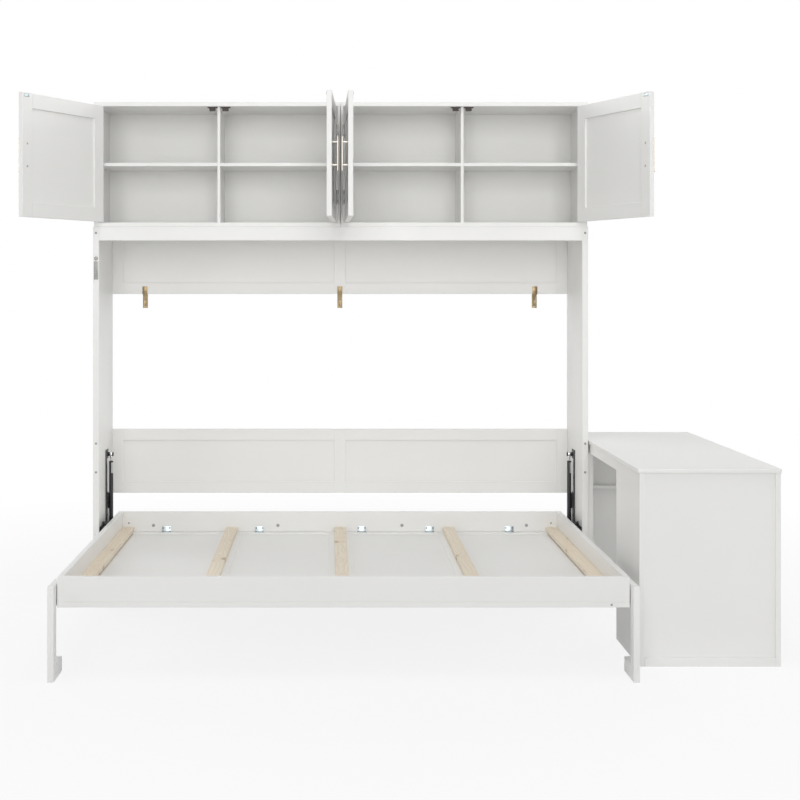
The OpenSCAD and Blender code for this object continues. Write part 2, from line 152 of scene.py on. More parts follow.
class StageProperties(bpy.types.PropertyGroup):
    """Camera and light"""

    eye: FloatVectorProperty(
        name="Camera", description="Camera's place, from the middle of the wall frame's front edge",
        subtype="XYZ", unit="LENGTH", size=3, default=(-0.053, -5.974, 1.334))
    focal_px: FloatProperty(
        name="Focal length", description="In pixels of the picture", min=500, default=1420)
    centre_px: FloatVectorProperty(
        name="Optical centre", description="Where the camera's axis meets the picture, in pixels",
        size=2, default=(328, 290))
    sky: FloatProperty(name="Sky", description="Strength of the even light", min=0, default=0.25)
    key: FloatProperty(name="Key lamp", description="Power of the large front lamp",
                       subtype="POWER", unit="POWER", min=0, default=590)
    fill: FloatProperty(name="Side lamps", description="Power of each lamp at the side",
                        subtype="POWER", unit="POWER", min=0, default=34)
    back: FloatProperty(name="Back lamps", description="Power of each lamp behind the frame",
                        subtype="POWER", unit="POWER", min=0, default=95)
    top: FloatProperty(name="Top lamp", description="Power of the lamp overhead",
                       subtype="POWER", unit="POWER", min=0, default=68)


# ---- Shaping, by the same operators as by hand ------------------------------------------------


def only(obj):
    """Make obj the one selected and active object."""
    bpy.ops.object.select_all(action="DESELECT")
    obj.select_set(True)
    bpy.context.view_layer.objects.active = obj
    return obj


def settle(obj, name):
    """Name the active object and put its place into its mesh."""
    obj.name = name
    obj.data.name = name
    only(obj)
    bpy.ops.object.transform_apply(location=True, rotation=True, scale=True)
    return obj


def block(name, lo, hi):
    """Block between two corners."""
    lo, hi = Vector(lo), Vector(hi)
    bpy.ops.object.select_all(action="DESELECT")
    bpy.ops.mesh.primitive_cube_add(size=1, location=(lo + hi) / 2)
    obj = bpy.context.active_object
    obj.scale = hi - lo
    return settle(obj, name)


def turned(name, start, end, radius, sides=48):
    """Cylinder from start to end."""
    start, end = Vector(start), Vector(end)
    axis = end - start
    bpy.ops.object.select_all(action="DESELECT")
    bpy.ops.mesh.primitive_cylinder_add(
        vertices=sides, radius=radius, depth=axis.length, location=(start + end) / 2,
        rotation=axis.to_track_quat("Z", "Y").to_euler())
    return settle(bpy.context.active_object, name)


def apply_modifier(obj, kind, **values):
    """Add one modifier to obj and apply it."""
    only(obj)
    modifier = obj.modifiers.new(kind.title(), kind)
    for key, value in values.items():
        setattr(modifier, key, value)
    bpy.ops.object.modifier_apply(modifier=modifier.name)
    return obj


def rounded(obj, width, segments=3, angle=35):
    """Round the edges that are sharper than angle."""
    return apply_modifier(obj, "BEVEL", width=width, segments=segments, limit_method="ANGLE",
                          angle_limit=math.radians(angle), use_clamp_overlap=True)


def carved(obj, cutter):
    """Cut one object out of another."""
    apply_modifier(obj, "BOOLEAN", operation="DIFFERENCE", solver="EXACT", object=cutter)
    bpy.data.objects.remove(cutter)
    return obj


def joined(name, parts):
    """Join several objects into one."""
    bpy.ops.object.select_all(action="DESELECT")
    for part in parts:
        part.select_set(True)
    bpy.context.view_layer.objects.active = parts[0]
    bpy.ops.object.join()
    obj = bpy.context.active_object
    obj.name = name
    obj.data.name = name
    return obj


def select_faces(obj, test):
    """Enter edit mode with only the faces selected whose centre and normal pass the test."""
    only(obj)
    bpy.ops.object.mode_set(mode="EDIT")
    bpy.ops.mesh.select_all(action="DESELECT")
    bpy.ops.object.mode_set(mode="OBJECT")
    for face in obj.data.polygons:
        face.select = test(face.center, face.normal)
    bpy.ops.object.mode_set(mode="EDIT")
    bpy.ops.mesh.select_mode(type="FACE")


def split(obj, y):
    """Cut obj's faces where they cross the plane at y."""
    only(obj)
    bpy.ops.object.mode_set(mode="EDIT")
    bpy.ops.mesh.select_all(action="SELECT")
    bpy.ops.mesh.bisect(plane_co=(0, y, 0), plane_no=(0, 1, 0))
    bpy.ops.object.mode_set(mode="OBJECT")


def sunk(obj, test, border, depth):
    """Inset the chosen faces and push what is inside them in."""
    select_faces(obj, test)
    bpy.ops.mesh.inset(thickness=border, depth=-depth)
    bpy.ops.object.mode_set(mode="OBJECT")
    return obj


def copy_of_node(node, name):
    """A welded copy of a frame node, with flat areas made whole, ready to be rounded."""
    only(NODES[node])
    bpy.ops.object.duplicate()
    obj = bpy.context.active_object
    for key in [key for key in obj.keys() if key.startswith("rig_")]:
        del obj[key]
    obj.parent = None
    obj.name = name
    obj.data.name = name
    bpy.ops.object.mode_set(mode="EDIT")
    bpy.ops.mesh.select_all(action="SELECT")
    bpy.ops.mesh.remove_doubles(threshold=WELD)
    bpy.ops.mesh.dissolve_limited(angle_limit=FLAT)
    bpy.ops.object.mode_set(mode="OBJECT")
    return obj


def islands(node):
    """Lowest corner, highest corner and points of each separate solid in a frame node."""
    mesh = bmesh.new()
    mesh.from_mesh(NODES[node].data)
    bmesh.ops.remove_doubles(mesh, verts=mesh.verts, dist=WELD)
    found, seen = [], set()
    for start in mesh.verts:
        if start in seen:
            continue
        stack, points = [start], []
        seen.add(start)
        while stack:
            vert = stack.pop()
            points.append(vert.co.copy())
            for edge in vert.link_edges:
                other = edge.other_vert(vert)
                if other not in seen:
                    seen.add(other)
                    stack.append(other)
        lo = Vector(min(p[i] for p in points) for i in range(3))
        hi = Vector(max(p[i] for p in points) for i in range(3))
        found.append((lo, hi, points))
    mesh.free()
    return found


def dress(obj, body, slot, *replaced, finish=None):
    """Give a piece its shading, its finish (the slot's own unless another is named) and the body it
    moves with, and hide the nodes it stands for."""
    only(obj)
    bpy.ops.object.shade_smooth_by_angle(angle=SMOOTH)
    obj.data.materials.clear()
    obj.data.materials.append(FINISH[finish or slot])
    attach(obj, body)
    if replaced:
        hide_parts(*replaced)
    return obj


def stamp(master, name, at, out, size=1.0):
    """Copy a master piece, made at the origin along +Z, to a place where +Z points out."""
    obj = master.copy()
    obj.data = master.data.copy()
    obj.name = name
    obj.data.name = name
    bpy.context.scene.collection.objects.link(obj)
    turn = Vector(out).to_track_quat("Z", "Y").to_matrix().to_4x4()
    obj.data.transform(Matrix.Translation(at) @ turn @ Matrix.Scale(size, 4))
    return obj


def screw_master():
    """Pan-head screw with a cross recess, 1 unit in radius, its underside at the origin."""
    height, recess_half, recess_wide, recess_floor, above = 0.42, 0.55, 0.09, 0.2, 0.6
    head = turned("screw_master", (0, 0, 0), (0, 0, height), 1.0, FEW_SIDES)
    rounded(head, 0.26, segments=4)
    for turn in (0, math.pi / 2):
        cutter = block("recess", (-recess_half, -recess_wide, recess_floor),
                       (recess_half, recess_wide, above))
        cutter.data.transform(Matrix.Rotation(turn, 4, "Z"))
        carved(head, cutter)
    return head


def nut_master():
    """Hexagon nut with broken edges and the bolt's end in it, 1 unit in radius."""
    height, bolt_foot, bolt_top, bolt_radius = 0.72, 0.1, 0.95, 0.52
    nut = turned("nut_master", (0, 0, 0), (0, 0, height), 1.0, sides=6)
    rounded(nut, 0.06, segments=2)
    bolt = turned("bolt_end", (0, 0, bolt_foot), (0, 0, bolt_top), bolt_radius, FEW_SIDES)
    rounded(bolt, 0.08, segments=2)
    return joined("nut_master", [nut, bolt])


# ---- Materials --------------------------------------------------------------------------------


class Graph:
    """Short calls for building a node tree."""

    def __init__(self, tree):
        self.tree = tree

    def add(self, kind, links=(), **values):
        """Add a node, set its properties, and link or set its inputs by name or number."""
        node = self.tree.nodes.new(kind)
        for key, value in values.items():
            setattr(node, key, value)
        for key, value in dict(links).items():
            if isinstance(value, bpy.types.NodeSocket):
                self.tree.links.new(value, node.inputs[key])
            else:
                node.inputs[key].default_value = value
        return node

    def math(self, operation, a, b=0.0):
        """Sum, product or the like of two values."""
        return self.add("ShaderNodeMath", {0: a, 1: b}, operation=operation).outputs[0]

    def ramp(self, value, low, high, out_low=0.0, out_high=1.0):
        """A value that runs from out_low to out_high while the given one runs from low to high."""
        node = self.add("ShaderNodeMapRange", {"Value": value, "From Min": low, "From Max": high,
                                               "To Min": out_low, "To Max": out_high})
        return node.outputs["Result"]

    def mix(self, factor, a, b, blend="MIX"):
        """Two colours blended by a factor."""
        node = self.add("ShaderNodeMix", data_type="RGBA", blend_type=blend)
        # The node's colour sockets are its inputs 6 and 7 and its output 2
        for key, value in ((0, factor), (6, a), (7, b)):
            if isinstance(value, bpy.types.NodeSocket):
                self.tree.links.new(value, node.inputs[key])
            else:
                node.inputs[key].default_value = value
        return node.outputs[2]

    def tint(self, colour, shade):
        """A colour made lighter or darker by a value near 1."""
        grey = self.add("ShaderNodeCombineColor", {0: shade, 1: shade, 2: shade}).outputs[0]
        return self.mix(1.0, colour, grey, "MULTIPLY")

    def place(self, scale):
        """Object coordinates, stretched by a scale along each axis."""
        point = self.add("ShaderNodeTexCoord").outputs["Object"]
        return self.add("ShaderNodeMapping", {"Vector": point, "Scale": scale}).outputs[0]

    def noise(self, vector, scale, detail=2.0, rough=0.5):
        """Uneven value between 0 and 1."""
        return self.add("ShaderNodeTexNoise", {"Vector": vector, "Scale": scale,
                                               "Detail": detail, "Roughness": rough}).outputs[0]


def new_group(name, inputs):
    """Shader node group with named inputs (name, socket kind, default): its graph and inputs."""
    tree = bpy.data.node_groups.new(name, "ShaderNodeTree")
    for label, kind, default in inputs:
        tree.interface.new_socket(label, in_out="INPUT", socket_type=kind).default_value = default
    for label, kind in (("Colour", "NodeSocketColor"), ("Roughness", "NodeSocketFloat"),
                        ("Normal", "NodeSocketVector")):
        tree.interface.new_socket(label, in_out="OUTPUT", socket_type=kind)
    graph = Graph(tree)
    return graph, graph.add("NodeGroupInput").outputs


def close_group(graph, colour, roughness, normal):
    """Link the outputs of a node group and return it."""
    graph.add("NodeGroupOutput", {"Colour": colour, "Roughness": roughness, "Normal": normal})
    return graph.tree


def film_group():
    """Roller texture, slow changes of tone, painted shade on edges and in creases, and softened
    edges, for paint and powder coat.
    """
    g, given = new_group("Coating Film", [
        ("Colour", "NodeSocketColor", (0.8, 0.8, 0.8, 1)), ("Peel Scale", "NodeSocketFloat", 450.0),
        ("Roughness", "NodeSocketFloat", 0.4), ("Mottle And Edge Shade", "NodeSocketFloat", 0.03),
        ("Soft Edge", "NodeSocketFloat", 0.0016), ("Relief", "NodeSocketFloat", 0.0)])
    point = g.place((1, 1, 1))
    peel = g.noise(point, given["Peel Scale"])
    slow = g.noise(point, 3.1, detail=3.0)
    patch_noise = g.noise(g.place((1.3, 1.3, 5.0)), 24.0, detail=5.0, rough=0.65)
    edge_normal = g.add("ShaderNodeBevel", {"Radius": given["Soft Edge"]}, samples=6).outputs[0]
    facing = g.add("ShaderNodeVectorMath", {
        0: edge_normal, 1: g.add("ShaderNodeNewGeometry").outputs["Normal"]},
        operation="DOT_PRODUCT").outputs["Value"]
    # Painted shade: the colour darkens along edges and in the creases between boards, in patches
    edge_and_crease_mask = g.ramp(facing, 0.995, 0.8)
    painted_edge_shade = g.math("MULTIPLY", edge_and_crease_mask, g.ramp(patch_noise, 0.45, 0.7))
    # The mottle value sets both the random tone and the strength of the painted edge shade
    tone = g.math("MULTIPLY", g.math("SUBTRACT", slow, 0.5), given["Mottle And Edge Shade"])
    shade = g.math("SUBTRACT", g.math("ADD", tone, 1.0), g.math("MULTIPLY", painted_edge_shade, given["Mottle And Edge Shade"]))
    uneven = g.math("MULTIPLY", g.math("SUBTRACT", patch_noise, 0.5), 0.14)
    bump = g.add("ShaderNodeBump", {"Height": peel, "Distance": given["Relief"], "Strength": 0.5,
                                    "Normal": edge_normal})
    return close_group(g, g.tint(given["Colour"], shade),
                       g.math("ADD", given["Roughness"], uneven), bump.outputs[0])


def grain_group():
    """Pine: drawn-out rings that bend round knots, and fine fibres."""
    g, given = new_group("Pine Grain", [
        ("Early Wood", "NodeSocketColor", (0.8, 0.65, 0.45, 1)),
        ("Late Wood", "NodeSocketColor", (0.6, 0.4, 0.2, 1)),
        ("Knot", "NodeSocketColor", (0.2, 0.1, 0.05, 1)), ("Ring Scale", "NodeSocketFloat", 35.0)])
    early, dark = given["Early Wood"], given["Late Wood"]
    knots = g.add("ShaderNodeTexVoronoi", {"Vector": g.place((11, 5.5, 9)), "Scale": 1.0})
    knot_gap = knots.outputs["Distance"]
    knot = g.ramp(knot_gap, 0.17, 0.08)
    halo = g.ramp(knot_gap, 0.5, 0.1)
    sway = g.noise(g.place((5, 0.9, 5)), 1.0)
    bend = g.math("ADD", g.math("MULTIPLY", sway, 0.09), g.math("MULTIPLY", halo, 0.02))
    shift = g.add("ShaderNodeCombineXYZ", {0: bend, 2: bend}).outputs[0]
    path = g.add("ShaderNodeVectorMath", {0: g.place((1, 0.04, 1)), 1: shift}).outputs[0]
    rings = g.add("ShaderNodeTexWave", {"Vector": path, "Scale": given["Ring Scale"],
                                        "Distortion": 1.2, "Detail": 2.0, "Detail Scale": 1.0},
                  wave_type="BANDS", bands_direction="DIAGONAL", wave_profile="SAW").outputs[1]
    late = g.math("MULTIPLY", g.math("POWER", rings, 3.0), 0.75)
    fibre = g.noise(g.place((620, 9, 620)), 1.0, detail=3.0)
    board_tone = g.noise(g.place((2.3, 0.15, 0.2)), 1.0, detail=1.0)
    wood = g.mix(late, early, dark)
    for share in (g.ramp(fibre, 0.35, 0.8, 0.0, 0.22), g.ramp(board_tone, 0.4, 0.65, 0.0, 0.3),
                  g.math("MULTIPLY", halo, 0.3)):
        wood = g.mix(share, wood, dark)
    wood = g.mix(g.math("MULTIPLY", knot, 0.6), wood, given["Knot"])
    height = g.math("ADD", g.math("MULTIPLY", fibre, 0.6), g.math("MULTIPLY", late, 0.4))
    bump = g.add("ShaderNodeBump", {"Height": height, "Distance": 0.0003, "Strength": 0.5})
    return close_group(g, wood, g.ramp(fibre, 0.3, 0.8, 0.52, 0.68), bump.outputs[0])


def brush_group():
    """Fine lines and slight dulling of bright metal."""
    g, given = new_group("Metal Brushing", [
        ("Colour", "NodeSocketColor", (0.7, 0.7, 0.7, 1)), ("Roughness", "NodeSocketFloat", 0.3),
        ("Spangle", "NodeSocketFloat", 0.1), ("Along", "NodeSocketVector", (900, 900, 20))])
    point = g.add("ShaderNodeTexCoord").outputs["Object"]
    lines = g.add("ShaderNodeVectorMath", {0: point, 1: given["Along"]}, operation="MULTIPLY")
    hair = g.noise(lines.outputs[0], 1.0)
    flakes = g.add("ShaderNodeTexVoronoi", {"Vector": point, "Scale": 260.0}).outputs["Color"]
    flake = g.add("ShaderNodeSeparateColor", {0: flakes}).outputs[0]
    shade = g.math("ADD", 1.0, g.math("MULTIPLY", g.math("SUBTRACT", flake, 0.5), given["Spangle"]))
    rough = g.math("ADD", given["Roughness"], g.ramp(hair, 0.3, 0.7, -0.06, 0.08))
    bump = g.add("ShaderNodeBump", {"Height": hair, "Distance": 0.00008, "Strength": 0.35})
    return close_group(g, g.tint(given["Colour"], shade), rough, bump.outputs[0])


def grouped_material(name, tree, values, **surface):
    """Principled material whose colour, roughness and normal come from a node group."""
    material = bpy.data.materials.new(name)
    material.use_nodes = True
    material.node_tree.nodes.clear()
    g = Graph(material.node_tree)
    group = g.add("ShaderNodeGroup", node_tree=tree)
    for key, value in values.items():
        socket = group.inputs[key]
        socket.default_value = (*value, 1.0) if socket.type == "RGBA" else value
    shader = g.add("ShaderNodeBsdfPrincipled", {
        "Base Color": group.outputs["Colour"], "Roughness": group.outputs["Roughness"],
        "Normal": group.outputs["Normal"], **surface})
    g.add("ShaderNodeOutputMaterial", {"Surface": shader.outputs[0]})
    return material


def coating(name, colour, grain, roughness, mottle_and_edge_shade, edge, relief, **surface):
    """Paint, powder coat or moulded plastic, with its texture's count per metre as grain."""
    return grouped_material(name, TREES["film"], {
        "Colour": tuple(colour), "Peel Scale": grain, "Roughness": roughness, "Mottle And Edge Shade": mottle_and_edge_shade,
        "Soft Edge": edge, "Relief": relief}, **surface)


def pine():
    """Planed softwood."""
    w = bpy.context.scene.wallbed_wood
    band = 0.628  # Width in metres of one band of the wave texture at a scale of 1
    return grouped_material(
        "Bare Pine", TREES["grain"],
        {"Early Wood": tuple(w.light), "Late Wood": tuple(w.dark), "Knot": tuple(w.knot),
         "Ring Scale": band / w.ring})


def metal(name, colour, roughness, spangle, along=(30, 30, 900)):
    """Bare metal. Along holds the brushed lines' count per metre on each axis."""
    return grouped_material(
        name, TREES["brush"],
        {"Colour": tuple(colour), "Roughness": roughness, "Spangle": spangle, "Along": along},
        Metallic=1.0)


TREES = {}
FINISH = {}


def build_finishes():
    """Build each shared node group and each material once."""
    p, m = bpy.context.scene.wallbed_paint, bpy.context.scene.wallbed_metal
    TREES.update(film=film_group(), grain=grain_group(), brush=brush_group())
    FINISH.update(
        white_paint=coating("Satin White Paint", p.colour, 1 / p.peel, p.roughness, mottle_and_edge_shade=0.035,
                            edge=p.edge, relief=0.06 * MM, **{"Coat Weight": 0.08}),
        bare_wood=pine(),
        black_steel=coating("Black Powder Coat", m.black, 1100, 0.42, mottle_and_edge_shade=0.25, edge=m.edge,
                            relief=0.1 * MM),
        grey_cap=coating("Grey Cover Cap", (0.36, 0.37, 0.38), 1400, 0.45, mottle_and_edge_shade=0.06,
                         edge=0.3 * MM, relief=0.03 * MM),
        catch_plastic=coating("Dark Catch Plastic", (0.045, 0.033, 0.026), 1500, 0.5, mottle_and_edge_shade=0.15,
                              edge=0.4 * MM, relief=0.05 * MM),
        # Light grey for a strip on the strut tubes: a painted highlight
        label=coating("Painted Tube Highlight", (0.55, 0.56, 0.55), 900, 0.35, mottle_and_edge_shade=0.05, edge=0.1 * MM,
                      relief=0.02 * MM),
        zinc=metal("Bright Zinc", m.zinc, 0.34, 0.25),
        tan_zinc=metal("Yellow Zinc", m.tan_zinc, 0.36, 0.2),
        nickel=metal("Brushed Warm Nickel", m.nickel, 0.3, 0.03, (20, 20, 900)),
        hinge_steel=metal("Pale Hinge Steel", (0.66, 0.66, 0.64), 0.38, 0.06),
        dull_zinc=metal("Dull Zinc", (0.27, 0.27, 0.26), 0.46, 0.2),
        dark_screw=metal("Dark Screw", (0.16, 0.16, 0.16), 0.4, 0.1),
        chrome=metal("Polished Rod", (0.72, 0.72, 0.73), 0.14, 0.0))


# ---- Operators: one for each piece or group of like pieces -------------------------------------


class WALLBED_OT_boards(bpy.types.Operator):
    """Give every frame node the finish of its slot"""

    bl_idname = "wallbed.boards"
    bl_label = "Finish Boards"

    def execute(self, context):
        for name, obj in NODES.items():
            # The hinges' leaves are paler than the other zinc
            material = FINISH["hinge_steel" if name == "hinge_leaves" else SLOT_OF[name]]
            if obj.material_slots:
                for slot in obj.material_slots:
                    slot.material = material
            else:
                obj.data.materials.append(material)
        return {"FINISHED"}


class WALLBED_OT_rounded_boards(bpy.types.Operator):
    """Legs and desk top with hand-friendly rounded edges"""

    bl_idname = "wallbed.rounded_boards"
    bl_label = "Round Legs and Desk Top"

    leg_edge: FloatProperty(name="Leg edge", description="Radius of the legs' edges",
                            subtype="DISTANCE", unit="LENGTH", default=0.003)
    top_edge: FloatProperty(name="Desk edge", description="Radius of the desk top's edges",
                            subtype="DISTANCE", unit="LENGTH", default=0.0018)

    def execute(self, context):
        for side in ("left", "right"):
            leg = copy_of_node(f"leg_{side}", f"rounded_leg_{side}")
            rounded(leg, self.leg_edge, segments=4)
            dress(leg, f"leg_{side}", "white_paint", f"leg_{side}")
        top = rounded(copy_of_node("desk_top", "rounded_desk_top"), self.top_edge, angle=50)
        dress(top, "frame", "white_paint", "desk_top")
        return {"FINISHED"}


class WALLBED_OT_slats(bpy.types.Operator):
    """Five bare pine slats with eased edges and a slight unevenness"""

    bl_idname = "wallbed.slats"
    bl_label = "Lay Slats"

    wander: FloatProperty(name="Unevenness", description="How far a slat's top strays from flat",
                          subtype="DISTANCE", unit="LENGTH", default=0.0006)
    lengths: IntProperty(name="Lengths", description="Parts that a slat is divided into along it",
                         min=2, default=12)
    end = 10 * MM  # The last stretch of a slat, which stays flat on its rail

    def execute(self, context):
        wood = context.scene.wallbed_wood
        rng = random.Random(wood.seed)
        slats = []
        for number, (lo, hi, _) in enumerate(sorted(islands("deck_slats"), key=lambda i: i[0].x)):
            slat = block(f"slat_{number + 1}", lo, hi)
            for cut in range(1, self.lengths):
                split(slat, lo.y + (hi.y - lo.y) * cut / self.lengths)
            for vert in slat.data.vertices:
                inside = lo.y + self.end < vert.co.y < hi.y - self.end
                if inside and vert.co.z > (lo.z + hi.z) / 2:
                    vert.co.z -= rng.uniform(0, self.wander)
            rounded(slat, wood.edge, segments=4, angle=60)
            slats.append(slat)
        for slat in slats[1:]:
            dress(slat, "deck", "bare_wood")
        dress(slats[0], "deck", "bare_wood", "deck_slats")
        return {"FINISHED"}


class WALLBED_OT_door_hardware(bpy.types.Operator):
    """Bar handles, their screws, and the strike plates for the magnetic catches"""

    bl_idname = "wallbed.door_hardware"
    bl_label = "Fit Door Hardware"

    flange: FloatProperty(name="Flange", description="Radius where a post meets the door",
                          subtype="DISTANCE", unit="LENGTH", default=0.0062)
    flange_depth = 2.5 * MM
    flange_edge = 0.8 * MM
    post_radius = 3.6 * MM
    screw_radius = 4.2 * MM
    screw_depth = 1.6 * MM
    bar_edge = 0.35  # Share of the bar's radius
    strike_thick = 1.2 * MM
    strike_half_height = 6 * MM
    strike_corner = 2.5 * MM
    strike_back = 0.5 * MM  # From the middle of the frame's strike plate to this one's back
    strike_screw_radius = 2.4 * MM
    strike_screw_place = 0.66  # Share of the strike plate's half length

    def execute(self, context):
        screw = screw_master()
        for door in DOORS:
            parts = sorted(islands(f"door_{door}_handle"), key=lambda i: (i[0].z + i[1].z) / 2)
            bar = max(parts, key=lambda i: i[1].z - i[0].z)
            strike = parts[-1]
            screws = [part for part in parts if part not in (bar, strike)]
            axis, way = self.inward(bar, screws)
            self.handle(door, bar, screws, screw, axis, way)
            self.strike(door, strike, screw, way)
        bpy.data.objects.remove(screw)
        return {"FINISHED"}

    def inward(self, bar, screws):
        """Axis of the bar in plan, and the direction from it into the door."""
        top = [p for p in bar[2] if p.z > bar[1].z - NEAR]
        axis = sum(top, Vector()) / len(top)
        middle = sum(((lo + hi) / 2 for lo, hi, _ in screws), Vector()) / len(screws)
        way = middle - axis
        way.z = 0
        return axis, way.normalized()

    def handle(self, door, bar, screws, screw, axis, way):
        """Bar, its two posts with flanges, and the screws inside the door."""
        lo, hi, points = bar
        reach = max((p - axis).dot(way) for p in points)
        radius = max(abs((p - axis).cross(way).z) for p in points if p.z > hi.z - NEAR)
        start = Vector((axis.x, axis.y, lo.z))
        end = Vector((axis.x, axis.y, hi.z))
        made = [rounded(turned(f"bar_{door}", start, end, radius), radius * self.bar_edge, 4)]
        for part_lo, part_hi, _ in screws:
            root = Vector((axis.x, axis.y, (part_lo.z + part_hi.z) / 2))
            face = root + way * reach
            made.append(turned("post", root, face, self.post_radius, FEW_SIDES))
            flange = turned("flange", face - way * self.flange_depth, face, self.flange, FEW_SIDES)
            made.append(rounded(flange, self.flange_edge))
            at = (part_lo + part_hi) / 2 - way * self.screw_depth / 2
            made.append(stamp(screw, "screw", at, way, self.screw_radius))
        obj = joined(f"handle_{door}", made)
        dress(obj, f"door_{door}", "nickel", f"door_{door}_handle")

    def strike(self, door, plate, screw, way):
        """Strike plate with a sunk middle and two screws, made lying down and then stood up."""
        lo, hi, points = plate
        centre = (lo + hi) / 2
        along = Vector((-way.y, way.x, 0))
        half = max(abs((p - centre).dot(along)) for p in points)
        body = block("strike", (-half, -self.strike_half_height, 0),
                     (half, self.strike_half_height, self.strike_thick))
        rounded(body, self.strike_corner, segments=4, angle=60)
        sunk(body, lambda at, out: out.z > FACING and abs(at.x) < half / 2, 2 * MM, 0.4 * MM)
        heads = [stamp(screw, "strike_screw", (x, 0, self.strike_thick - 0.1 * MM), (0, 0, 1),
                       self.strike_screw_radius)
                 for x in (-half * self.strike_screw_place, half * self.strike_screw_place)]
        obj = joined(f"strike_{door}", [body, *heads])
        up = Vector((0, 0, 1))
        turn = Matrix((along, up, along.cross(up))).transposed()
        if turn.col[2].dot(way) < 0:
            turn = Matrix((-along, up, -along.cross(up))).transposed()
        obj.data.transform(Matrix.Translation(centre - way * self.strike_back) @ turn.to_4x4())
        dress(obj, f"door_{door}", "zinc")


class WALLBED_OT_corner_brackets(bpy.types.Operator):
    """Zinc corner brackets between the end rails and the deck, with their screws"""

    bl_idname = "wallbed.corner_brackets"
    bl_label = "Screw On Corner Brackets"

    thick = 2 * MM
    screw_radius = 3.4 * MM
    screw_from_side = 6 * MM
    screw_from_rail = 15 * MM  # On the flange that lies on the deck
    screw_from_top = 8 * MM  # On the flange that stands against the rail

    def execute(self, context):
        edge = context.scene.wallbed_metal.edge
        screw = screw_master()
        deck_y = sum(corner.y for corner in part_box("deck_brackets")) / 2
        made, heads = [], []
        for lo, hi, _ in islands("deck_brackets"):
            inward = 1 if (lo.y + hi.y) / 2 < deck_y else -1
            rail = lo.y if inward > 0 else hi.y
            made.append(self.bracket(lo, hi, inward, rail, edge))
            for x in (lo.x + self.screw_from_side, hi.x - self.screw_from_side):
                lying = (x, rail + inward * self.screw_from_rail, lo.z + self.thick)
                standing = (x, rail + inward * self.thick, hi.z - self.screw_from_top)
                heads.append(stamp(screw, "screw", lying, (0, 0, 1), self.screw_radius))
                heads.append(stamp(screw, "screw", standing, (0, inward, 0), self.screw_radius))
        bpy.data.objects.remove(screw)
        dress(joined("corner_brackets", made), "deck", "zinc", "deck_brackets")
        dress(joined("corner_bracket_screws", heads), "deck", "zinc", finish="dark_screw")
        return {"FINISHED"}

    def bracket(self, lo, hi, inward, rail, edge):
        """Flat plate with the strip along the rail drawn up into the standing flange."""
        body = block("bracket", lo, (hi.x, hi.y, lo.z + self.thick))
        split(body, rail + inward * self.thick)
        select_faces(body, lambda at, out: out.z > FACING and abs(at.y - rail) < self.thick)
        bpy.ops.mesh.extrude_region_move(
            TRANSFORM_OT_translate={"value": (0, 0, hi.z - lo.z - self.thick)})
        bpy.ops.object.mode_set(mode="OBJECT")
        return rounded(body, edge, 2)


class WALLBED_OT_wall_brackets(bpy.types.Operator):
    """Bent yellow-zinc strips that tie the frame to the wall"""

    bl_idname = "wallbed.wall_brackets"
    bl_label = "Fit Wall Brackets"

    tall = 20 * MM  # Solids of the node that are lower than this aren't strips
    strip_thick = 2 * MM
    head_sunk = 0.2 * MM  # How deep a screw head's underside lies in the strip
    low_screws = (11.5 * MM, 37.5 * MM)  # From the strip's foot
    tab_height = 8 * MM
    tab_screw = 17 * MM  # From the strip's top
    low_radius = 4 * MM
    tab_radius = 4.4 * MM

    def execute(self, context):
        edge = context.scene.wallbed_metal.edge
        strips = rounded(copy_of_node("wall_brackets", "wall_bracket_strips"), edge, 2)
        dress(strips, "frame", "tan_zinc", "wall_brackets")
        screw = screw_master()
        heads = []
        for lo, hi, points in islands("wall_brackets"):
            if hi.z - lo.z <= self.tall:
                continue
            x = (lo.x + hi.x) / 2
            face = hi.y - self.strip_thick + self.head_sunk
            tab = min(p.y for p in points if p.z > hi.z - self.tab_height)
            places = [((x, face, lo.z + up), self.low_radius) for up in self.low_screws]
            places.append(((x, tab, hi.z - self.tab_screw), self.tab_radius))
            for at, radius in places:
                heads.append(stamp(screw, "screw", at, (0, -1, 0), radius))
        bpy.data.objects.remove(screw)
        dress(joined("bracket_screws", heads), "frame", "zinc", finish="dark_screw")
        return {"FINISHED"}


class WALLBED_OT_cover_caps(bpy.types.Operator):
    """Domed caps over the screws in the posts and the deck"""

    bl_idname = "wallbed.cover_caps"
    bl_label = "Press In Cover Caps"

    depth_in = 0.5 * MM  # How far a cap reaches into its hole
    rim = 0.35  # Share of the radius
    crown = 0.5 * MM
    edge = 0.4 * MM

    def execute(self, context):
        for node, body in (("frame_caps", "frame"), ("deck_caps", "deck")):
            made = []
            for lo, hi, _ in islands(node):
                centre = (lo + hi) / 2
                radius = (hi.x - lo.x) / 2
                cap = turned("cap", (centre.x, hi.y + self.depth_in, centre.z),
                             (centre.x, lo.y, centre.z), radius, FEW_SIDES)
                sunk(cap, lambda at, out: out.y < -FACING, radius * self.rim, -self.crown)
                made.append(rounded(cap, self.edge, 2))
            obj = joined(f"cover_{node}", made)
            dress(obj, body, "grey_cap", node)
        return {"FINISHED"}


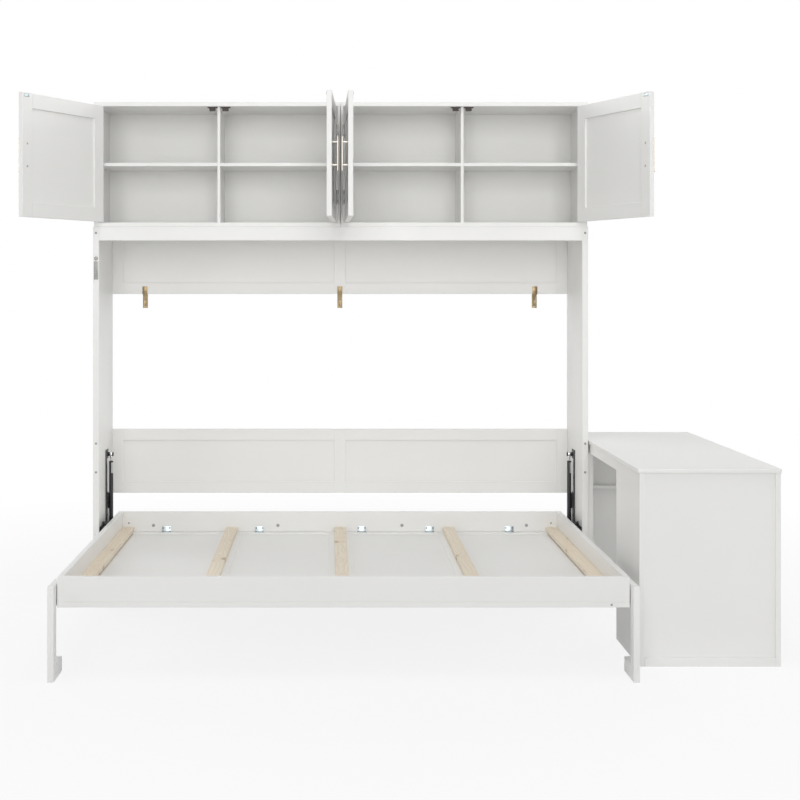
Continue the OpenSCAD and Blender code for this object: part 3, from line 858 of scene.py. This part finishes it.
class WALLBED_OT_latch(bpy.types.Operator):
    """Small metal catch on the left post's front edge"""

    bl_idname = "wallbed.latch"
    bl_label = "Fit Catch"

    plate_thick = 1.6 * MM
    knob_room = 20 * MM  # From the catch's top to its plate
    knob_down = 8 * MM
    knob_radius = 7.8 * MM
    knob_out = 6 * MM
    rib_half = 3 * MM
    rib_out = 4 * MM
    rib_ends = (16 * MM, 14 * MM)  # From the plate's lower and upper end
    screw_ends = (8 * MM, 7 * MM)
    screw_radius = 3.6 * MM

    def execute(self, context):
        screw = screw_master()
        lo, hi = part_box("latch_plate")
        x = (lo.x + hi.x) / 2
        top = hi.z - self.knob_room
        plate = block("plate", (lo.x, FRONT_Y - self.plate_thick, lo.z), (hi.x, FRONT_Y, top))
        rounded(plate, 1.2 * MM)
        rib = block("rib", (x - self.rib_half, FRONT_Y - self.rib_out, lo.z + self.rib_ends[0]),
                    (x + self.rib_half, FRONT_Y - 1 * MM, top - self.rib_ends[1]))
        rounded(rib, 1.4 * MM, segments=4)
        knob = turned("knob", (x, FRONT_Y, hi.z - self.knob_down),
                      (x, FRONT_Y - self.knob_out, hi.z - self.knob_down), self.knob_radius)
        rounded(knob, 2.2 * MM, segments=4)
        parts = [plate, rib, knob]
        for z in (lo.z + self.screw_ends[0], top - self.screw_ends[1]):
            at = (x, FRONT_Y - self.plate_thick + 0.1 * MM, z)
            parts.append(stamp(screw, "screw", at, (0, -1, 0), self.screw_radius))
        bpy.data.objects.remove(screw)
        dress(joined("catch_plate", parts), "frame", "zinc", "latch_plate", finish="dull_zinc")
        return {"FINISHED"}


class WALLBED_OT_struts(bpy.types.Operator):
    """Gas struts: polished rod in a black tube, with collars and a light-grey painted highlight
    strip
    """

    bl_idname = "wallbed.struts"
    bl_label = "Fit Gas Struts"

    # The label is a light-grey strip on one side of the tube: a painted highlight
    label: FloatProperty(name="Label", description="Length of the blank label on the tube",
                         subtype="DISTANCE", unit="LENGTH", default=0.046)
    highlight_down = 6 * MM  # From the tube's top
    highlight_radius = 9.15 * MM
    highlight_facing = math.radians(-28)  # Direction in plan that the painted highlight strip looks along
    highlight_share = 0.6  # Cosine of half the angle that the painted highlight strip covers
    neck_radius = 5.5 * MM
    neck_span = (2.6, 1.8)  # From the rod's top, in eye radii
    collar_radius = 9.5 * MM

    def execute(self, context):
        for side in ("left", "right"):
            self.rod(side)
            self.tube(side)
        return {"FINISHED"}

    def rod(self, side):
        """Polished rod with a neck under its eye."""
        lo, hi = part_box(f"strut_rod_{side}")
        x, y = (lo.x + hi.x) / 2, (lo.y + hi.y) / 2
        eye_r = (hi.y - lo.y) / 2
        eye = rounded(copy_of_node(f"strut_rod_{side}", "rod_eye"), 0.6 * MM, 2)
        low, high = (hi.z - share * eye_r for share in self.neck_span)
        neck = turned("rod_neck", (x, y, low), (x, y, high), self.neck_radius, FEW_SIDES)
        rounded(neck, 1 * MM)
        obj = joined(f"strut_piston_{side}", [eye, neck])
        dress(obj, f"strut_rod_{side}", "zinc", f"strut_rod_{side}", finish="chrome")

    def tube(self, side):
        """Black tube with two collars, and a light-grey strip round part of it: a painted
        highlight.
        """
        lo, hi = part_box(f"strut_cylinder_{side}")
        x, y = (lo.x + hi.x) / 2, (lo.y + hi.y) / 2
        tube = rounded(copy_of_node(f"strut_cylinder_{side}", "tube"), 1.2 * MM)
        parts = [tube]
        # Foot and height of each collar
        for z, tall in ((hi.z - 4 * MM, 2 * MM), (lo.z + 34 * MM, 3 * MM)):
            collar = turned("collar", (x, y, z), (x, y, z + tall), self.collar_radius, sides=40)
            parts.append(rounded(collar, 0.8 * MM))
        obj = joined(f"strut_tube_{side}", parts)
        dress(obj, f"strut_cylinder_{side}", "black_steel", f"strut_cylinder_{side}")
        # Painted highlight: a light-grey strip round one side of the tube, in the label finish
        top = hi.z - self.highlight_down
        label = turned(f"strut_highlight_{side}", (x, y, top - self.label), (x, y, top),
                       self.highlight_radius, sides=64)
        facing = Vector((math.cos(self.highlight_facing), math.sin(self.highlight_facing), 0))
        select_faces(label, lambda at, out: abs(out.z) > 0.5 or out.dot(facing) < self.highlight_share)
        bpy.ops.mesh.delete(type="FACE")
        bpy.ops.object.mode_set(mode="OBJECT")
        dress(label, f"strut_cylinder_{side}", "black_steel", finish="label")


class WALLBED_OT_mechanism(bpy.types.Operator):
    """Broken edges on the black plates, and the nuts and screws that hold them"""

    bl_idname = "wallbed.mechanism"
    bl_label = "Fit Mechanism"

    nut_radius = 6.4 * MM
    nut_back = 5.8 * MM  # From the bolt's end to the nut's seat
    plate_thick = 3 * MM
    # Screws through each plate, in mm from its rear edge and from its top
    plate_screws = ((52, 72), (52, 150), (34, 214), (34, 285))
    screw_radius = 4.2 * MM

    def execute(self, context):
        edge = context.scene.wallbed_metal.edge
        for node, body in (("mechanism_plates", "frame"), ("deck_arms", "deck"),
                           ("mechanism_bolts", "frame")):
            obj = rounded(copy_of_node(node, f"finished_{node}"), edge, 2)
            dress(obj, body, "black_steel", node)
        nut, screw = nut_master(), screw_master()
        nuts = [self.nut(nut, lo, hi) for lo, hi, _ in islands("leg_bolts")]
        screws = []
        lo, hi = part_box("mechanism_plates")
        for x, out in ((lo.x + self.plate_thick, 1), (hi.x - self.plate_thick, -1)):
            for back, down in self.plate_screws:
                at = (x, hi.y - back * MM, hi.z - down * MM)
                screws.append(stamp(screw, "screw", at, (out, 0, 0), self.screw_radius))
        bpy.data.objects.remove(nut)
        bpy.data.objects.remove(screw)
        dress(joined("leg_nuts", nuts), "deck", "zinc")
        dress(joined("plate_screws", screws), "frame", "black_steel")
        return {"FINISHED"}

    def nut(self, master, lo, hi):
        """Nut on the bolt's end that faces the middle of the bed."""
        x, out = (hi.x, 1) if (lo.x + hi.x) / 2 < MID_X else (lo.x, -1)
        at = (x - out * self.nut_back, (lo.y + hi.y) / 2, (lo.z + hi.z) / 2)
        return stamp(master, "nut", at, (out, 0, 0), self.nut_radius)


class WALLBED_OT_catches(bpy.types.Operator):
    """Magnetic catches under the cabinets' tops"""

    bl_idname = "wallbed.catches"
    bl_label = "Fit Catches"

    taper: FloatProperty(name="Taper", description="Share of the width that the body stands back",
                         min=0, max=0.4, default=0.17)
    flange_tall = 4 * MM
    overlap = 1 * MM  # How far the body reaches into the flange
    draft = (0.9, 0.94, 1)  # Share of the body's size that its underside keeps

    def execute(self, context):
        made = []
        for lo, hi, _ in islands("door_catches"):
            inset = (hi.x - lo.x) * self.taper
            flange = block("flange", (lo.x, lo.y, hi.z - self.flange_tall), hi)
            rounded(flange, 0.8 * MM, 2)
            body = block("body", (lo.x + inset, lo.y, lo.z),
                         (hi.x - inset, hi.y, hi.z - self.flange_tall + self.overlap))
            select_faces(body, lambda at, out: out.z < -FACING)
            bpy.ops.transform.resize(value=self.draft, center_override=(
                (lo.x + hi.x) / 2, (lo.y + hi.y) / 2, lo.z))
            bpy.ops.object.mode_set(mode="OBJECT")
            sunk(body, lambda at, out: out.y < -FACING, 2.5 * MM, 1 * MM)
            rounded(body, 0.9 * MM)
            made += [flange, body]
        obj = joined("magnetic_catches", made)
        dress(obj, "frame", "catch_plastic", "door_catches")
        return {"FINISHED"}


class WALLBED_OT_stage(bpy.types.Operator):
    """Camera at the photograph's viewpoint, soft studio light and a pale floor"""

    bl_idname = "wallbed.stage"
    bl_label = "Set Stage"

    floor_radius = 14
    floor_down = 0.5 * MM
    fade = (1.2, 4.0)  # Distances between which the floor's last shade turns to white
    white_share = 0.84  # How white the floor is seen under the bed

    def execute(self, context):
        stage = context.scene.wallbed_stage
        self.camera(context, stage)
        self.light(stage)
        self.sky(context, stage)
        self.floor()
        context.scene.view_settings.view_transform = "Standard"
        return {"FINISHED"}

    def camera(self, context, stage):
        """A level camera whose picture is shifted, so that uprights stay upright."""
        data = bpy.data.cameras.new("Camera")
        data.sensor_width = 36
        data.lens = stage.focal_px / PICTURE * data.sensor_width
        data.shift_x = 0.5 - stage.centre_px[0] / PICTURE
        data.shift_y = stage.centre_px[1] / PICTURE - 0.5
        data.clip_end = 60
        camera = bpy.data.objects.new("Camera", data)
        camera.location = Vector((MID_X, FRONT_Y, 0)) + Vector(stage.eye)
        camera.rotation_euler = (math.pi / 2, 0, 0)
        context.scene.collection.objects.link(camera)
        context.scene.camera = camera

    def light(self, stage):
        """Large lamps: place, aim, power and width."""
        for name, at, aim, power, size in (
                ("Key", (-0.4, -12.0, 3.0), (0.0, 0.0, 1.1), stage.key, 8.0),
                ("Left Fill", (-4.8, -1.9, 2.1), (0.0, -0.2, 0.9), stage.fill, 2.5),
                ("Right Fill", (4.8, -1.8, 2.0), (0.3, -0.2, 0.9), stage.fill, 2.5),
                ("Left Back", (-5.5, 3.6, 2.6), (0.0, 0.2, 1.0), stage.back, 3.0),
                ("Right Back", (5.5, 3.6, 2.6), (0.0, 0.2, 1.0), stage.back, 3.0),
                ("Top", (0.3, -1.3, 5.0), (0.1, -0.3, 0.6), stage.top, 3.0)):
            data = bpy.data.lights.new(name, "AREA")
            data.energy = power
            data.size = size
            lamp = bpy.data.objects.new(name, data)
            lamp.location = at
            lamp.visible_camera = False
            lamp.rotation_euler = (Vector(aim) - Vector(at)).to_track_quat("-Z", "Y").to_euler()
            bpy.context.scene.collection.objects.link(lamp)

    def sky(self, context, stage):
        """Even light that the camera, metal and glass see as plain white."""
        world = bpy.data.worlds.new("Studio")
        context.scene.world = world
        world.use_nodes = True
        world.node_tree.nodes.clear()
        g = Graph(world.node_tree)
        path = g.add("ShaderNodeLightPath").outputs
        seen = g.math("MAXIMUM", g.math("MAXIMUM", path["Is Camera Ray"], path["Is Glossy Ray"]),
                      path["Is Transmission Ray"])
        lit = g.add("ShaderNodeBackground", {"Color": (1, 1, 1, 1), "Strength": stage.sky})
        white = g.add("ShaderNodeBackground", {"Color": (1, 1, 1, 1), "Strength": 1.0})
        both = g.add("ShaderNodeMixShader", {0: seen, 1: lit.outputs[0], 2: white.outputs[0]})
        g.add("ShaderNodeOutputWorld", {"Surface": both.outputs[0]})

    def floor(self):
        """A wide disc whose rim melts into the white of the background."""
        bpy.ops.object.select_all(action="DESELECT")
        bpy.ops.mesh.primitive_circle_add(vertices=96, radius=self.floor_radius, fill_type="NGON",
                                          location=(0, 0, -self.floor_down))
        floor = settle(bpy.context.active_object, "floor")
        material = bpy.data.materials.new("Pale Floor")
        material.use_nodes = True
        material.node_tree.nodes.clear()
        g = Graph(material.node_tree)
        point = g.add("ShaderNodeTexCoord").outputs["Object"]
        away = g.add("ShaderNodeVectorMath", {0: point}, operation="LENGTH").outputs["Value"]
        path = g.add("ShaderNodeLightPath").outputs
        seen = g.math("MAXIMUM", path["Is Camera Ray"], path["Is Glossy Ray"])
        matt = g.add("ShaderNodeBsdfDiffuse", {"Color": (0.8, 0.8, 0.8, 1)})
        white = g.add("ShaderNodeEmission", {"Color": (1, 1, 1, 1), "Strength": 1.0})
        share = g.math("MULTIPLY", seen, g.ramp(away, *self.fade, self.white_share, 1.0))
        both = g.add("ShaderNodeMixShader", {0: share, 1: matt.outputs[0], 2: white.outputs[0]})
        g.add("ShaderNodeOutputMaterial", {"Surface": both.outputs[0]})
        floor.data.materials.append(material)


class WALLBED_PT_panel(bpy.types.Panel):
    """Sidebar panel with the bed's finishes and the steps that make it"""

    bl_idname = "WALLBED_PT_panel"
    bl_label = "Wall Bed"
    bl_space_type = "VIEW_3D"
    bl_region_type = "UI"
    bl_category = "Wall Bed"

    def draw(self, context):
        for key in PROPERTIES:
            group = getattr(context.scene, key)
            box = self.layout.box()
            for name in group.__annotations__:
                box.prop(group, name)
        for operator in STEPS:
            self.layout.operator(operator.bl_idname)


STEPS = (
    WALLBED_OT_stage,
    WALLBED_OT_boards,
    WALLBED_OT_rounded_boards,
    WALLBED_OT_slats,
    WALLBED_OT_door_hardware,
    WALLBED_OT_corner_brackets,
    WALLBED_OT_wall_brackets,
    WALLBED_OT_cover_caps,
    WALLBED_OT_latch,
    WALLBED_OT_struts,
    WALLBED_OT_mechanism,
    WALLBED_OT_catches,
)
PROPERTIES = {
    "wallbed_paint": PaintProperties,
    "wallbed_wood": WoodProperties,
    "wallbed_metal": MetalProperties,
    "wallbed_stage": StageProperties,
}
CLASSES = (*PROPERTIES.values(), *STEPS, WALLBED_PT_panel)


def register():
    """Add the classes and the scene's properties."""
    for cls in CLASSES:
        bpy.utils.register_class(cls)
    for key, group in PROPERTIES.items():
        setattr(bpy.types.Scene, key, PointerProperty(type=group))


def unregister():
    """Take them out again."""
    for key in PROPERTIES:
        delattr(bpy.types.Scene, key)
    for cls in reversed(CLASSES):
        bpy.utils.unregister_class(cls)


def main():
    """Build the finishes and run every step."""
    register()
    build_finishes()
    for operator in STEPS:
        _, action = operator.bl_idname.split(".")
        getattr(bpy.ops.wallbed, action)()


if __name__ == "__main__":
    main()
